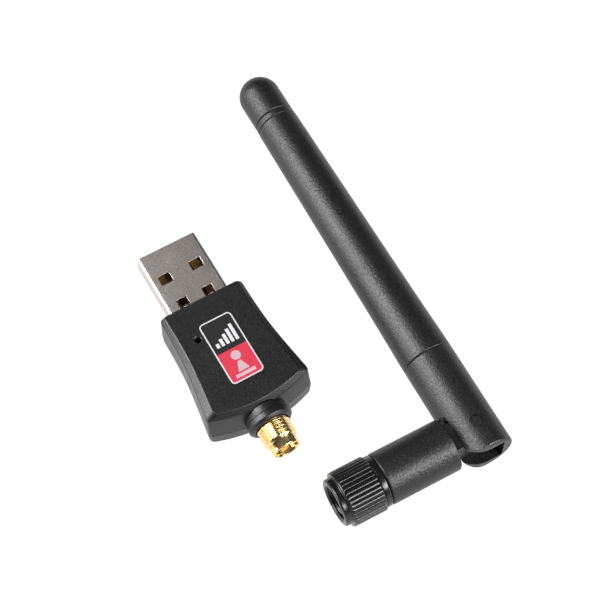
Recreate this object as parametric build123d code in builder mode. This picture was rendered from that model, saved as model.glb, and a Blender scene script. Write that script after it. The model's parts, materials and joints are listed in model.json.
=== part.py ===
"""A USB wireless network adapter with its loose, folding whip antenna.

The dongle stands on its underside with the USB plug towards +Y and the antenna jack towards -Y.
The antenna lies beside it, folded square at its hinge. Lengths are in millimetres.
"""

import math
import os

from build123d import *

os.makedirs("parts", exist_ok=True)

# Case
case_length = 24.8
case_height = 9.15
case_half_width_plug_end = 8.5
case_half_width_waist = 8.65
case_half_width_jack_end = 10.65
case_waist_back = 9.4
case_bow = 2.4
case_corner_radius = 1.3
case_wall = 1.1
parting_height = 3.2
facet_drop = 1.0
foot_rise = 0.8
side_draft = 0.35
jack_end_draft = 0.9
side_facet = 0.8
jack_end_facet = 0.85
fit_gap = 0.05

# Plug and jack height above the underside
axis_height = 4.575

# USB plug, to the series A standard
plug_width = 12.0
plug_thickness = 4.5
plug_exposed = 13.7
plug_wall = 0.3
plug_inside_case = 5.5
window_width = 2.4
window_length = 2.05
window_centre = 3.2
window_from_tip = 5.1
tab_window_width = 2.05
tab_window_centre = 2.6
tab_window_from_case = 2.6
contact_thickness = 0.25
contact_proud = 0.05
contact_tail = 1.5
outer_contact_centre = 3.5
inner_contact_centre = 1.0
outer_contact_width = 1.5
inner_contact_width = 1.2
contact_from_tip = 1.3

# Circuit board and what stands on it
board_thickness = 1.0
board_half_width = 6.9
board_from_plug = 0.3
board_end_gap = 1.6
chip_size = 5.0
chip_height = 0.85
led_hole_radius = 0.6
led_x = -4.3
led_from_plug_end = 7.3

# Label
label_width = 5.8
label_length = 12.7
label_thickness = 0.12
label_corner = 0.8
label_from_plug_end = 5.2
label_recess = 0.07

# Antenna jack, a reverse-polarity bulkhead jack with a 1/4-36 thread
thread_radius = 3.175
jack_shank_radius = 2.9
collar_bore_radius = 3.3
jack_thread_end = 5.45
jack_nose_length = 1.7
jack_nose_radius = 2.65
jack_bore_radius = 2.3
jack_bore_depth = 3.0
jack_flange_radius = 3.7
jack_flange_thickness = 1.2
jack_pin_radius = 0.45
collar_radius = 4.3
collar_neck_radius = 4.0
collar_reach = 1.9
collar_neck_length = 0.3
collar_chamfer = 0.5

# Antenna, measured from the pivot of its hinge
pivot_x = 30.14
pivot_y = -33.15
lie_turn = -1.45
swivel_gap = 0.1
elbow_radius = 4.9
elbow_start = 5.3
elbow_end = 18.95
eye_radius = 2.7
eye_thickness = 5.6
hinge_gap = 0.1
hinge_pin_radius = 1.2
hinge_pin_gap = 0.05
arm_radius_at_pivot = 4.87
sleeve_neck = 28.0
sleeve_neck_radius = 4.66
sleeve_tip_radius = 4.17
arm_back = 5.2
barrel_end = 15.8
sleeve_end = 73.3
ring_end = 74.7
cap_radius = 4.1
cap_tip = 84.85
edge_round = 0.15
arm_bore_radius = 3.1
spigot_length = 4.0
coax_radius = 0.9

# Coupling nut and the plug inside it
nut_radius = 5.17
nut_knurl_start = 20.2
nut_knurl_end = 26.85
nut_end = 28.15
nut_neck_radius = 4.85
nut_mouth_radius = 4.5
nut_thread_gap = 0.075
nut_bore_radius = thread_radius + nut_thread_gap
nut_back_wall = 1.35
knurl_count = 36
knurl_depth = 0.25
core_radius = 2.55
core_barrel_radius = 2.25
core_flange_radius = 3.1
core_flange_thickness = 0.8
core_reach = 2.6
nut_thread_length = 3.4
nut_relief = 0.3
nut_mouth_chamfer = 0.35
core_tail = 4.2
core_bore_radius = 1.8

plug_end_y = case_length / 2
jack_end_y = -case_length / 2
plug_tip_y = plug_end_y + plug_exposed


# ---------------------------------------------------------------- case shells

def case_outline(height, side_inset, plug_end_inset, jack_end_inset, corner_inset=0.0):
    """The case seen from above, drawn in by an inset on each side."""
    half_plug_end = case_half_width_plug_end - side_inset
    half_waist = case_half_width_waist - side_inset
    half_jack_end = case_half_width_jack_end - side_inset
    y_plug = plug_end_y - plug_end_inset
    y_waist = plug_end_y - case_waist_back
    y_jack = jack_end_y + jack_end_inset
    y_shoulder = y_jack + case_bow
    with BuildSketch(Plane.XY.offset(height)) as outline:
        with BuildLine():
            Line((-half_plug_end, y_plug), (half_plug_end, y_plug))
            Line((half_plug_end, y_plug), (half_waist, y_waist))
            Line((half_waist, y_waist), (half_jack_end, y_shoulder))
            ThreePointArc((half_jack_end, y_shoulder), (0, y_jack), (-half_jack_end, y_shoulder))
            Line((-half_jack_end, y_shoulder), (-half_waist, y_waist))
            Line((-half_waist, y_waist), (-half_plug_end, y_plug))
        make_face()
        corners = outline.vertices().filter_by(lambda v: abs(v.X) > half_waist + 0.01)
        fillet(corners, case_corner_radius - corner_inset)
        ends = outline.vertices().filter_by(lambda v: abs(v.Y - y_plug) < 0.01)
        fillet(ends, (case_corner_radius - corner_inset) / 2)
    return outline.sketch


def shell_solid(sections):
    """A closed solid with straight walls through a stack of outlines."""
    with BuildPart() as solid:
        for section in sections:
            add(section)
        loft(ruled=True)
    return solid.part


shoulder_height = case_height - facet_drop
lower_outer = [
    case_outline(0, side_facet, side_facet / 2, side_facet),
    case_outline(foot_rise, side_facet / 6, 0, side_facet / 6),
    case_outline(parting_height, 0, 0, 0),
]
upper_outer = [
    case_outline(parting_height, 0, 0, 0),
    case_outline(shoulder_height, side_draft, 0.1, jack_end_draft),
    case_outline(case_height, side_draft + side_facet, 0.5, jack_end_draft + jack_end_facet),
]
cavity_side = case_wall + side_draft / 2
cavity_lower = [
    case_outline(case_wall, side_facet + case_wall, case_wall, side_facet + case_wall, 0.6),
    case_outline(parting_height, cavity_side, case_wall, case_wall, 0.6),
]
cavity_upper = [
    case_outline(parting_height, cavity_side, case_wall, case_wall, 0.6),
    case_outline(
        case_height - case_wall,
        side_draft + case_wall,
        case_wall,
        jack_end_draft + jack_end_facet / 2 + case_wall,
        0.6,
    ),
]

plug_plane = Plane.XZ.offset(-plug_end_y - 1)
jack_plane = Plane(origin=(0, jack_end_y, axis_height), x_dir=(1, 0, 0), z_dir=(0, -1, 0))


# The plug's slot and the jack collar's hole, which pass through both shells.
with BuildPart() as case_openings:
    with BuildSketch(plug_plane):
        with Locations((0, axis_height)):
            RectangleRounded(plug_width + 2 * fit_gap, plug_thickness + 2 * fit_gap, 0.5)
    extrude(amount=plug_inside_case)
    with BuildSketch(jack_plane.offset(1)):
        Circle(collar_neck_radius + fit_gap)
    extrude(amount=-(case_bow + case_wall + 0.5))


with BuildPart() as case_bottom:
    add(shell_solid(lower_outer))
    add(shell_solid(cavity_lower), mode=Mode.SUBTRACT)
    add(case_openings.part, mode=Mode.SUBTRACT)
case_bottom.part.label = "case_bottom"
export_step(case_bottom.part, "parts/case_bottom.step")

label_y = plug_end_y - label_from_plug_end - label_length / 2
led_y = plug_end_y - led_from_plug_end
with BuildPart() as case_top:
    add(shell_solid(upper_outer))
    add(shell_solid(cavity_upper), mode=Mode.SUBTRACT)
    add(case_openings.part, mode=Mode.SUBTRACT)
    with BuildSketch(Plane.XY.offset(case_height)):
        with Locations((led_x, led_y)):
            Circle(led_hole_radius)
    extrude(amount=-2 * case_wall, mode=Mode.SUBTRACT)
    with BuildSketch(Plane.XY.offset(case_height)):
        with Locations((0.15, label_y)):
            RectangleRounded(label_width, label_length, label_corner)
    extrude(amount=-label_recess, mode=Mode.SUBTRACT)
case_top.part.label = "case_top"
export_step(case_top.part, "parts/case_top.step")

with BuildPart() as label:
    with BuildSketch(Plane.XY.offset(case_height - label_recess)):
        with Locations((0.15, label_y)):
            RectangleRounded(label_width, label_length, label_corner)
    extrude(amount=label_thickness)
label.part.label = "label"
export_step(label.part, "parts/label.step")


# ------------------------------------------------------------------ USB plug

shell_back_y = plug_end_y - plug_inside_case + 1
shell_length = plug_tip_y - shell_back_y
inner_half_height = plug_thickness / 2 - plug_wall
tongue_bottom = axis_height - inner_half_height
contact_bottom = axis_height - jack_pin_radius
tongue_top = contact_bottom + contact_thickness - contact_proud
tongue_thickness = tongue_top - tongue_bottom
tip_plane = Plane(origin=(0, plug_tip_y, axis_height), x_dir=(-1, 0, 0), z_dir=(0, 1, 0))
cover_plane = Plane.XY.offset(axis_height)

with BuildPart() as usb_shell:
    with BuildSketch(tip_plane):
        RectangleRounded(plug_width, plug_thickness, 0.55)
        RectangleRounded(
            plug_width - 2 * plug_wall, plug_thickness - 2 * plug_wall, 0.25, mode=Mode.SUBTRACT
        )
    extrude(amount=-shell_length)
    with BuildSketch(cover_plane):
        with Locations((0, plug_tip_y - window_from_tip - window_length / 2)):
            with GridLocations(2 * window_centre, 1, 2, 1):
                Rectangle(window_width, window_length)
        with Locations((0, plug_end_y + tab_window_from_case / 2 - 0.5)):
            with GridLocations(2 * tab_window_centre, 1, 2, 1):
                Rectangle(tab_window_width, tab_window_from_case + 1)
    extrude(amount=plug_thickness, both=True, mode=Mode.SUBTRACT)
usb_shell.part.label = "usb_shell"
export_step(usb_shell.part, "parts/usb_shell.step")

tongue_half_width = plug_width / 2 - plug_wall - fit_gap
groove_y = plug_tip_y - contact_from_tip - shell_length / 2
with BuildPart() as usb_insulator:
    with BuildSketch(Plane.XY.offset(tongue_bottom)):
        with Locations((0, (plug_tip_y - 0.4 + shell_back_y) / 2)):
            Rectangle(2 * tongue_half_width, shell_length - 0.4)
    extrude(amount=tongue_thickness)
    fillet(usb_insulator.edges().filter_by(Axis.Y).group_by(Axis.Z)[0], plug_wall)
    with BuildSketch(Plane.XY.offset(contact_bottom)):
        for side in (-1, 1):
            with Locations((side * outer_contact_centre, groove_y)):
                Rectangle(outer_contact_width, shell_length)
            with Locations((side * inner_contact_centre, groove_y)):
                Rectangle(inner_contact_width, shell_length)
    extrude(amount=tongue_thickness, mode=Mode.SUBTRACT)
usb_insulator.part.label = "usb_insulator"
export_step(usb_insulator.part, "parts/usb_insulator.step")

contact_length = plug_tip_y - contact_from_tip - shell_back_y + contact_tail
contact_y = plug_tip_y - contact_from_tip - contact_length / 2
with BuildPart() as usb_contacts:
    with BuildSketch(Plane.XY.offset(contact_bottom)):
        with Locations((0, contact_y)):
            with GridLocations(2 * outer_contact_centre, 1, 2, 1):
                Rectangle(outer_contact_width, contact_length)
            with GridLocations(2 * inner_contact_centre, 1, 2, 1):
                Rectangle(inner_contact_width, contact_length)
    extrude(amount=contact_thickness)
usb_contacts.part.label = "usb_contacts"
export_step(usb_contacts.part, "parts/usb_contacts.step")


# ------------------------------------------------- circuit board and its parts

board_top = contact_bottom
board_front_y = shell_back_y - board_from_plug
board_back_y = jack_end_y + case_wall + board_end_gap
board_length = board_front_y - board_back_y

with BuildPart() as circuit_board:
    with BuildSketch(Plane.XY.offset(board_top - board_thickness)):
        with Locations((0, (board_front_y + board_back_y) / 2)):
            Rectangle(2 * board_half_width, board_length)
    extrude(amount=board_thickness)
circuit_board.part.label = "circuit_board"
export_step(circuit_board.part, "parts/circuit_board.step")

chip_y = (board_front_y + board_back_y) / 2 - 0.5
with BuildPart() as network_chip:
    with BuildSketch(Plane.XY.offset(board_top)):
        with Locations((0, chip_y)):
            RectangleRounded(chip_size, chip_size, 0.2)
    extrude(amount=chip_height)
    chamfer(network_chip.faces().sort_by(Axis.Z)[-1].edges(), 0.1)
network_chip.part.label = "network_chip"
export_step(network_chip.part, "parts/network_chip.step")

with BuildPart() as crystal:
    with BuildSketch(Plane.XY.offset(board_top)):
        with Locations((5.0, chip_y)):
            RectangleRounded(2.5, 3.2, 0.3)
    extrude(amount=0.75)
crystal.part.label = "crystal"
export_step(crystal.part, "parts/crystal.step")

with BuildPart() as regulator:
    with BuildSketch(Plane.XY.offset(board_top)):
        with Locations((-4.9, chip_y - 1.2)):
            Rectangle(1.6, 2.9)
    extrude(amount=1.1)
    chamfer(regulator.faces().sort_by(Axis.Z)[-1].edges().filter_by(Axis.Y), 0.2)
regulator.part.label = "regulator"
export_step(regulator.part, "parts/regulator.step")

with BuildPart() as status_led:
    with BuildSketch(Plane.XY.offset(board_top)):
        with Locations((led_x, led_y)):
            Rectangle(0.8, 1.6)
    extrude(amount=0.7)
status_led.part.label = "status_led"
export_step(status_led.part, "parts/status_led.step")

with BuildPart() as small_parts:
    with BuildSketch(Plane.XY.offset(board_top)):
        with Locations((0, chip_y + 3.4)):
            with GridLocations(1.3, 1, 4, 1):
                Rectangle(0.5, 1.0)
        with Locations((0, chip_y - 3.4)):
            with GridLocations(1.5, 1, 3, 1):
                Rectangle(0.5, 1.0)
        with Locations((5.2, chip_y + 3.2), (5.2, chip_y - 3.0)):
            Rectangle(1.0, 0.5)
    extrude(amount=0.45)
small_parts.part.label = "small_parts"
export_step(small_parts.part, "parts/small_parts.step")


# --------------------------------------------------------------- antenna jack

jack_face = collar_reach
thread_tip = jack_thread_end
jack_tip = jack_thread_end + jack_nose_length
jack_root = -case_wall - fit_gap - 0.15
jack_back = jack_root - jack_flange_thickness
section_plane = Plane(origin=(0, jack_end_y, axis_height), x_dir=(0, -1, 0), z_dir=(0, 0, 1))
jack_axis = Axis((0, jack_end_y, axis_height), (0, -1, 0))

with BuildPart() as jack_collar:
    with BuildSketch(section_plane):
        with BuildLine():
            Polyline(
                (jack_root, jack_shank_radius),
                (jack_root, collar_neck_radius),
                (collar_neck_length, collar_neck_radius),
                (collar_neck_length, collar_radius),
                (jack_face - collar_chamfer, collar_radius),
                (jack_face, collar_radius - collar_chamfer),
                (jack_face, collar_bore_radius),
                (jack_face - 0.6, collar_bore_radius),
                (jack_face - 0.6, jack_shank_radius),
                close=True,
            )
        make_face()
    revolve(axis=jack_axis)
jack_collar.part.label = "jack_collar"
export_step(jack_collar.part, "parts/jack_collar.step")

leg_width = 1.0
leg_length = 2.6
leg_thickness = 0.8
with BuildPart() as jack_body:
    with BuildSketch(section_plane):
        with BuildLine():
            Polyline(
                (jack_back, jack_bore_radius - 0.25),
                (jack_back, jack_flange_radius),
                (jack_root, jack_flange_radius),
                (jack_root, jack_shank_radius),
                (jack_face, jack_shank_radius),
                (jack_face, thread_radius),
                (thread_tip - 0.3, thread_radius),
                (thread_tip, jack_nose_radius + 0.1),
                (thread_tip, jack_nose_radius),
                (jack_tip - 0.15, jack_nose_radius),
                (jack_tip, jack_nose_radius - 0.15),
                (jack_tip, jack_bore_radius),
                (jack_tip - jack_bore_depth, jack_bore_radius),
                (jack_tip - jack_bore_depth, jack_bore_radius - 0.25),
                close=True,
            )
        make_face()
    revolve(axis=jack_axis)
    for leg_bottom in (board_top, board_top - board_thickness - leg_thickness):
        with BuildSketch(Plane.XY.offset(leg_bottom)):
            with Locations((0, jack_end_y - jack_back + leg_length / 2)):
                with GridLocations(5.0, 1, 2, 1):
                    Rectangle(leg_width, leg_length)
        extrude(amount=leg_thickness)
jack_body.part.label = "jack_body"
export_step(jack_body.part, "parts/jack_body.step")

with BuildPart() as jack_insulator:
    with BuildSketch(section_plane):
        with BuildLine():
            Polyline(
                (jack_back, jack_pin_radius),
                (jack_back, jack_bore_radius - 0.25),
                (jack_tip - jack_bore_depth, jack_bore_radius - 0.25),
                (jack_tip - jack_bore_depth, jack_pin_radius),
                close=True,
            )
        make_face()
    revolve(axis=jack_axis)
jack_insulator.part.label = "jack_insulator"
export_step(jack_insulator.part, "parts/jack_insulator.step")

with BuildPart() as jack_pin:
    with BuildSketch(jack_plane.offset(jack_tip - 0.9)):
        Circle(jack_pin_radius)
    extrude(amount=-(jack_tip - 0.9 - jack_back + 0.8))
    chamfer(jack_pin.edges().sort_by(Axis.Y)[0], 0.15)
jack_pin.part.label = "jack_pin"
export_step(jack_pin.part, "parts/jack_pin.step")


# -------------------------------------------------- antenna: planes and axes

# The antenna lies on its nut and on its tip, so its arm slopes down a little.
cap_centre = cap_tip - cap_radius
arm_slope = math.degrees(math.asin((nut_radius - cap_radius) / cap_centre))
elbow_direction = Vector(1, 0, 0).rotate(Axis.Z, lie_turn)
antenna_plane = Plane(
    origin=(pivot_x, pivot_y, nut_radius),
    x_dir=elbow_direction,
    z_dir=Vector(0, 0, 1).rotate(Axis((0, 0, 0), elbow_direction), -arm_slope),
)
arm_axis = Axis(antenna_plane.origin, antenna_plane.y_dir)
elbow_axis = Axis(antenna_plane.origin, antenna_plane.x_dir)
hinge_axis = Axis(antenna_plane.origin, antenna_plane.z_dir)


def arm_radius(s):
    """The arm's outer radius at a distance s from the pivot."""
    if s <= barrel_end:
        return arm_radius_at_pivot
    if s <= sleeve_neck:
        share = (s - barrel_end) / (sleeve_neck - barrel_end)
        return arm_radius_at_pivot + (sleeve_neck_radius - arm_radius_at_pivot) * share
    share = (s - sleeve_neck) / (sleeve_end - sleeve_neck)
    return sleeve_neck_radius + (sleeve_tip_radius - sleeve_neck_radius) * share


def across_elbow(distance):
    """The plane square to the elbow, at a distance from the pivot, facing the nut's mouth."""
    return Plane(
        origin=antenna_plane.from_local_coords((-distance, 0, 0)),
        x_dir=antenna_plane.y_dir,
        z_dir=-antenna_plane.x_dir,
    )


def across_arm(distance):
    """The plane square to the arm, at a distance from the pivot, facing the tip."""
    return Plane(
        origin=antenna_plane.from_local_coords((0, distance, 0)),
        x_dir=antenna_plane.x_dir,
        z_dir=antenna_plane.y_dir,
    )


# --------------------------------------------------------- elbow and its plug

tail_bore_radius = core_radius + fit_gap
tail_bore_depth = core_tail + 0.2
with BuildPart() as elbow:
    with BuildSketch(antenna_plane):
        with BuildLine():
            Polyline(
                (-elbow_start, 0),
                (-elbow_start, elbow_radius - 0.25),
                (-elbow_start - 0.25, elbow_radius),
                (-elbow_end + 0.2, elbow_radius),
                (-elbow_end, elbow_radius - 0.2),
                (-elbow_end, 0),
                close=True,
            )
        make_face()
    revolve(axis=elbow_axis)
    with BuildSketch(antenna_plane.offset(-eye_thickness / 2)):
        Circle(eye_radius)
        with Locations((-(elbow_start + 1) / 2, 0)):
            Rectangle(elbow_start + 1, 2 * eye_radius)
    extrude(amount=eye_thickness)
    with BuildSketch(antenna_plane.offset(-eye_thickness)):
        Circle(hinge_pin_radius + hinge_pin_gap)
    extrude(amount=2 * eye_thickness, mode=Mode.SUBTRACT)
    with BuildSketch(across_elbow(elbow_end)):
        Circle(tail_bore_radius)
    extrude(amount=-tail_bore_depth, mode=Mode.SUBTRACT)
    with BuildSketch(across_elbow(elbow_end)):
        Circle(coax_radius)
    extrude(amount=-(elbow_end - elbow_start + 0.8), mode=Mode.SUBTRACT)
elbow.part.label = "elbow"
export_step(elbow.part, "parts/elbow.step")

coax_end = elbow_end - tail_bore_depth
with BuildPart() as elbow_coax:
    with BuildSketch(across_elbow(coax_end)):
        Circle(coax_radius)
    extrude(amount=-(coax_end - elbow_start + 0.8))
elbow_coax.part.label = "elbow_coax"
export_step(elbow_coax.part, "parts/elbow_coax.step")

nut_start = elbow_end + swivel_gap
nut_shelf = nut_start + nut_back_wall
core_flange_start = nut_shelf + swivel_gap
core_flange_end = core_flange_start + core_flange_thickness
core_end = core_flange_end + core_reach
core_start = elbow_end - core_tail
ring_groove_start = core_flange_end + 0.1
ring_groove_width = 0.4
ring_groove_radius = core_barrel_radius - 0.25
with BuildPart() as plug_core:
    with BuildSketch(antenna_plane):
        with BuildLine():
            Polyline(
                (-core_start, core_bore_radius),
                (-core_start, core_radius),
                (-core_flange_start, core_radius),
                (-core_flange_start, core_flange_radius),
                (-core_flange_end, core_flange_radius),
                (-core_flange_end, core_barrel_radius),
                (-ring_groove_start, core_barrel_radius),
                (-ring_groove_start, ring_groove_radius),
                (-ring_groove_start - ring_groove_width, ring_groove_radius),
                (-ring_groove_start - ring_groove_width, core_barrel_radius),
                (-core_end, core_barrel_radius),
                (-core_end, core_bore_radius),
                close=True,
            )
        make_face()
    revolve(axis=elbow_axis)
plug_core.part.label = "plug_core"
export_step(plug_core.part, "parts/plug_core.step")

with BuildPart() as retaining_ring:
    with BuildSketch(across_elbow(ring_groove_start)):
        Circle(core_flange_radius)
        Circle(ring_groove_radius, mode=Mode.SUBTRACT)
        with Locations((core_flange_radius, 0)):
            Rectangle(2 * ring_groove_radius, 1.0, mode=Mode.SUBTRACT)
    extrude(amount=ring_groove_width)
retaining_ring.part.label = "retaining_ring"
export_step(retaining_ring.part, "parts/retaining_ring.step")

contact_bore_radius = jack_pin_radius + fit_gap
contact_radius = 0.75
with BuildPart() as plug_insulator:
    with BuildSketch(across_elbow(core_start)):
        Circle(core_bore_radius)
        Circle(contact_radius, mode=Mode.SUBTRACT)
    extrude(amount=core_end - core_start - 0.6)
plug_insulator.part.label = "plug_insulator"
export_step(plug_insulator.part, "parts/plug_insulator.step")

with BuildPart() as plug_contact:
    with BuildSketch(across_elbow(core_start)):
        Circle(contact_radius)
    extrude(amount=core_end - core_start - 0.7)
    with BuildSketch(across_elbow(core_end - 0.7)):
        Circle(contact_bore_radius)
    extrude(amount=-3.0, mode=Mode.SUBTRACT)
plug_contact.part.label = "plug_contact"
export_step(plug_contact.part, "parts/plug_contact.step")

# The bore is left plain at the thread's outer size.
nut_chamfer = 0.3
nut_thread_end = nut_end - nut_mouth_chamfer
nut_thread_start = nut_thread_end - nut_thread_length
with BuildPart() as coupling_nut:
    with BuildSketch(antenna_plane):
        with BuildLine():
            Polyline(
                (-nut_start, tail_bore_radius),
                (-nut_start, nut_neck_radius - 0.15),
                (-nut_start - 0.15, nut_neck_radius),
                (-nut_knurl_start, nut_neck_radius),
                (-nut_knurl_start - nut_chamfer, nut_radius),
                (-nut_knurl_end + nut_chamfer, nut_radius),
                (-nut_knurl_end, nut_radius - nut_chamfer),
                (-nut_knurl_end, nut_mouth_radius),
                (-nut_end + 0.2, nut_mouth_radius),
                (-nut_end, nut_mouth_radius - 0.2),
                (-nut_end, nut_bore_radius + nut_mouth_chamfer),
                (-nut_thread_end, nut_bore_radius),
                (-nut_thread_start, nut_bore_radius),
                (-nut_thread_start, nut_bore_radius + nut_relief),
                (-nut_shelf, nut_bore_radius + nut_relief),
                (-nut_shelf, tail_bore_radius),
                close=True,
            )
        make_face()
    revolve(axis=elbow_axis)
    knurl_pitch = 2 * math.pi * nut_radius / knurl_count
    with BuildSketch(across_elbow(nut_knurl_start)):
        with PolarLocations(nut_radius, knurl_count):
            Rectangle(2 * knurl_depth, knurl_pitch * 0.45)
    extrude(amount=nut_knurl_end - nut_knurl_start, mode=Mode.SUBTRACT)
coupling_nut.part.label = "coupling_nut"
export_step(coupling_nut.part, "parts/coupling_nut.step")


# ---------------------------------------------------------------- antenna arm

slot_height = eye_thickness + 2 * hinge_gap
slot_wall_x = eye_radius + 0.2
slot_mouth_y = 4.35
ear_round = elbow_start - 0.3
spigot_radius = arm_bore_radius
spigot_end = barrel_end + spigot_length
feed_bore_end = slot_mouth_y + 2.0

with BuildPart() as hinge_barrel:
    with BuildSketch(antenna_plane):
        with BuildLine():
            Polyline(
                (0, -arm_back),
                (arm_radius(-arm_back) - 0.5, -arm_back),
                (arm_radius(-arm_back), -arm_back + 0.5),
                (arm_radius(barrel_end), barrel_end - edge_round),
                (arm_radius(barrel_end) - edge_round, barrel_end),
                (spigot_radius, barrel_end),
                (spigot_radius, spigot_end),
                (0, spigot_end),
                close=True,
            )
        make_face()
    revolve(axis=arm_axis)
    # Slot for the elbow's eye, open to the side and to the back.
    with BuildSketch(antenna_plane):
        with BuildLine():
            Line((slot_wall_x, -2 * arm_back), (slot_wall_x, 0))
            RadiusArc((slot_wall_x, 0), (0, slot_wall_x), -slot_wall_x)
            Line((0, slot_wall_x), (-2 * arm_back, slot_mouth_y + 2))
            Line((-2 * arm_back, slot_mouth_y + 2), (-2 * arm_back, -2 * arm_back))
            Line((-2 * arm_back, -2 * arm_back), (slot_wall_x, -2 * arm_back))
        make_face()
    extrude(amount=slot_height / 2, both=True, mode=Mode.SUBTRACT)
    # The ears are rounded about the pin, so that the elbow's shoulder clears them as it folds.
    with BuildSketch(antenna_plane):
        with Locations((-arm_back, -arm_back)):
            Rectangle(2 * arm_back, 2 * arm_back)
        Circle(ear_round, mode=Mode.SUBTRACT)
    extrude(amount=elbow_radius, both=True, mode=Mode.SUBTRACT)
    with BuildSketch(antenna_plane):
        Circle(hinge_pin_radius)
    extrude(amount=2 * arm_back, both=True, mode=Mode.SUBTRACT)
    with BuildSketch(across_arm(0)):
        Circle(coax_radius)
    extrude(amount=spigot_end, mode=Mode.SUBTRACT)
hinge_barrel.part.label = "hinge_barrel"
export_step(hinge_barrel.part, "parts/hinge_barrel.step")

pin_half_length = arm_radius_at_pivot - 0.3
with BuildPart() as hinge_pin:
    with BuildSketch(antenna_plane):
        Circle(hinge_pin_radius)
    extrude(amount=pin_half_length, both=True)
hinge_pin.part.label = "hinge_pin"
export_step(hinge_pin.part, "parts/hinge_pin.step")

with BuildPart() as antenna_sleeve:
    with BuildSketch(antenna_plane):
        with BuildLine():
            Polyline(
                (arm_bore_radius, barrel_end),
                (arm_radius(barrel_end) - edge_round, barrel_end),
                (arm_radius(barrel_end), barrel_end + edge_round),
                (sleeve_neck_radius, sleeve_neck),
                (arm_radius(sleeve_end), sleeve_end - edge_round),
                (arm_radius(sleeve_end) - edge_round, sleeve_end),
                (arm_bore_radius, sleeve_end),
                close=True,
            )
        make_face()
    revolve(axis=arm_axis)
antenna_sleeve.part.label = "antenna_sleeve"
export_step(antenna_sleeve.part, "parts/antenna_sleeve.step")

cap_spigot_radius = arm_bore_radius - 0.4
with BuildPart() as cap_ring:
    with BuildSketch(antenna_plane):
        with BuildLine():
            Polyline(
                (cap_spigot_radius, sleeve_end),
                (cap_radius - edge_round, sleeve_end),
                (cap_radius, sleeve_end + edge_round),
                (cap_radius, ring_end - edge_round),
                (cap_radius - edge_round, ring_end),
                (cap_spigot_radius, ring_end),
                close=True,
            )
        make_face()
    revolve(axis=arm_axis)
cap_ring.part.label = "cap_ring"
export_step(cap_ring.part, "parts/cap_ring.step")

with BuildPart() as end_cap:
    with BuildSketch(antenna_plane):
        with BuildLine():
            Polyline(
                (0, cap_tip),
                (0, sleeve_end - spigot_length),
                (cap_spigot_radius, sleeve_end - spigot_length),
                (cap_spigot_radius, ring_end),
                (cap_radius - edge_round, ring_end),
                (cap_radius, ring_end + edge_round),
                (cap_radius, cap_centre),
            )
            RadiusArc((cap_radius, cap_centre), (0, cap_tip), -cap_radius)
        make_face()
    revolve(axis=arm_axis)
end_cap.part.label = "end_cap"
export_step(end_cap.part, "parts/end_cap.step")

# The radiator: the coax passes up inside a brass sleeve and ends in a straight wire.
lower_spacer_start = spigot_end + 2
spacer_length = 2.0
dipole_start = lower_spacer_start + spacer_length
dipole_end = dipole_start + 23.0
upper_spacer_start = dipole_end
wire_end = upper_spacer_start + spacer_length + 18.0
dipole_radius = 2.4
dipole_wall = 0.3
wire_radius = 0.5

with BuildPart() as arm_coax:
    with BuildSketch(across_arm(slot_mouth_y)):
        Circle(coax_radius)
    extrude(amount=dipole_end - slot_mouth_y)
arm_coax.part.label = "arm_coax"
export_step(arm_coax.part, "parts/arm_coax.step")

with BuildPart() as dipole_sleeve:
    with BuildSketch(across_arm(dipole_start)):
        Circle(dipole_radius)
        Circle(dipole_radius - dipole_wall, mode=Mode.SUBTRACT)
    extrude(amount=dipole_end - dipole_start)
dipole_sleeve.part.label = "dipole_sleeve"
export_step(dipole_sleeve.part, "parts/dipole_sleeve.step")

with BuildPart() as radiator_wire:
    with BuildSketch(across_arm(dipole_end)):
        Circle(wire_radius)
    extrude(amount=wire_end - dipole_end)
radiator_wire.part.label = "radiator_wire"
export_step(radiator_wire.part, "parts/radiator_wire.step")

with BuildPart() as lower_spacer:
    with BuildSketch(across_arm(lower_spacer_start)):
        Circle(arm_bore_radius)
        Circle(coax_radius, mode=Mode.SUBTRACT)
    extrude(amount=spacer_length)
lower_spacer.part.label = "lower_spacer"
export_step(lower_spacer.part, "parts/lower_spacer.step")

with BuildPart() as upper_spacer:
    with BuildSketch(across_arm(upper_spacer_start)):
        Circle(arm_bore_radius)
        Circle(wire_radius, mode=Mode.SUBTRACT)
    extrude(amount=spacer_length)
upper_spacer.part.label = "upper_spacer"
export_step(upper_spacer.part, "parts/upper_spacer.step")
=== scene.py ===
"""A USB wireless adapter and its loose folding antenna, on a white studio table."""

import json
import math

import bmesh
import bpy
from mathutils import Matrix, Vector


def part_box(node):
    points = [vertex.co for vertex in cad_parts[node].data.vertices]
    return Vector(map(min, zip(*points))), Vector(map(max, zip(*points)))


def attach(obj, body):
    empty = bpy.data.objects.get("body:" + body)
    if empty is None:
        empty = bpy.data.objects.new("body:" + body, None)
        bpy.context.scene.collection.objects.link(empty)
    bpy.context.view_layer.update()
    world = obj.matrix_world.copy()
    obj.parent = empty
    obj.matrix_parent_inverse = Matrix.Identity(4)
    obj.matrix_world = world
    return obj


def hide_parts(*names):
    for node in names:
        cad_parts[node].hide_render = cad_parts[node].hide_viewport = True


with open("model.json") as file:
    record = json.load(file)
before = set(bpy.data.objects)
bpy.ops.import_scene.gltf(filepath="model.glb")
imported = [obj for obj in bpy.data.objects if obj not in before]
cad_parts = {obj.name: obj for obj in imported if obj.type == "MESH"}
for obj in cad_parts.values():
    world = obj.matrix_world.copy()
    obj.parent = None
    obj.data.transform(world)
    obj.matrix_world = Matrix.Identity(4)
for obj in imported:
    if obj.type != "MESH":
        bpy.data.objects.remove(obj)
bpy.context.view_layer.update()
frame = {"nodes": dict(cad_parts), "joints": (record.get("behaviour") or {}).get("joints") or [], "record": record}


# ---------- table and studio
# A seamless white table under a tent that is white at the horizon and dim overhead.
# One softbox hangs at the left, one at the front, and two low ones light the sides.

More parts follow.
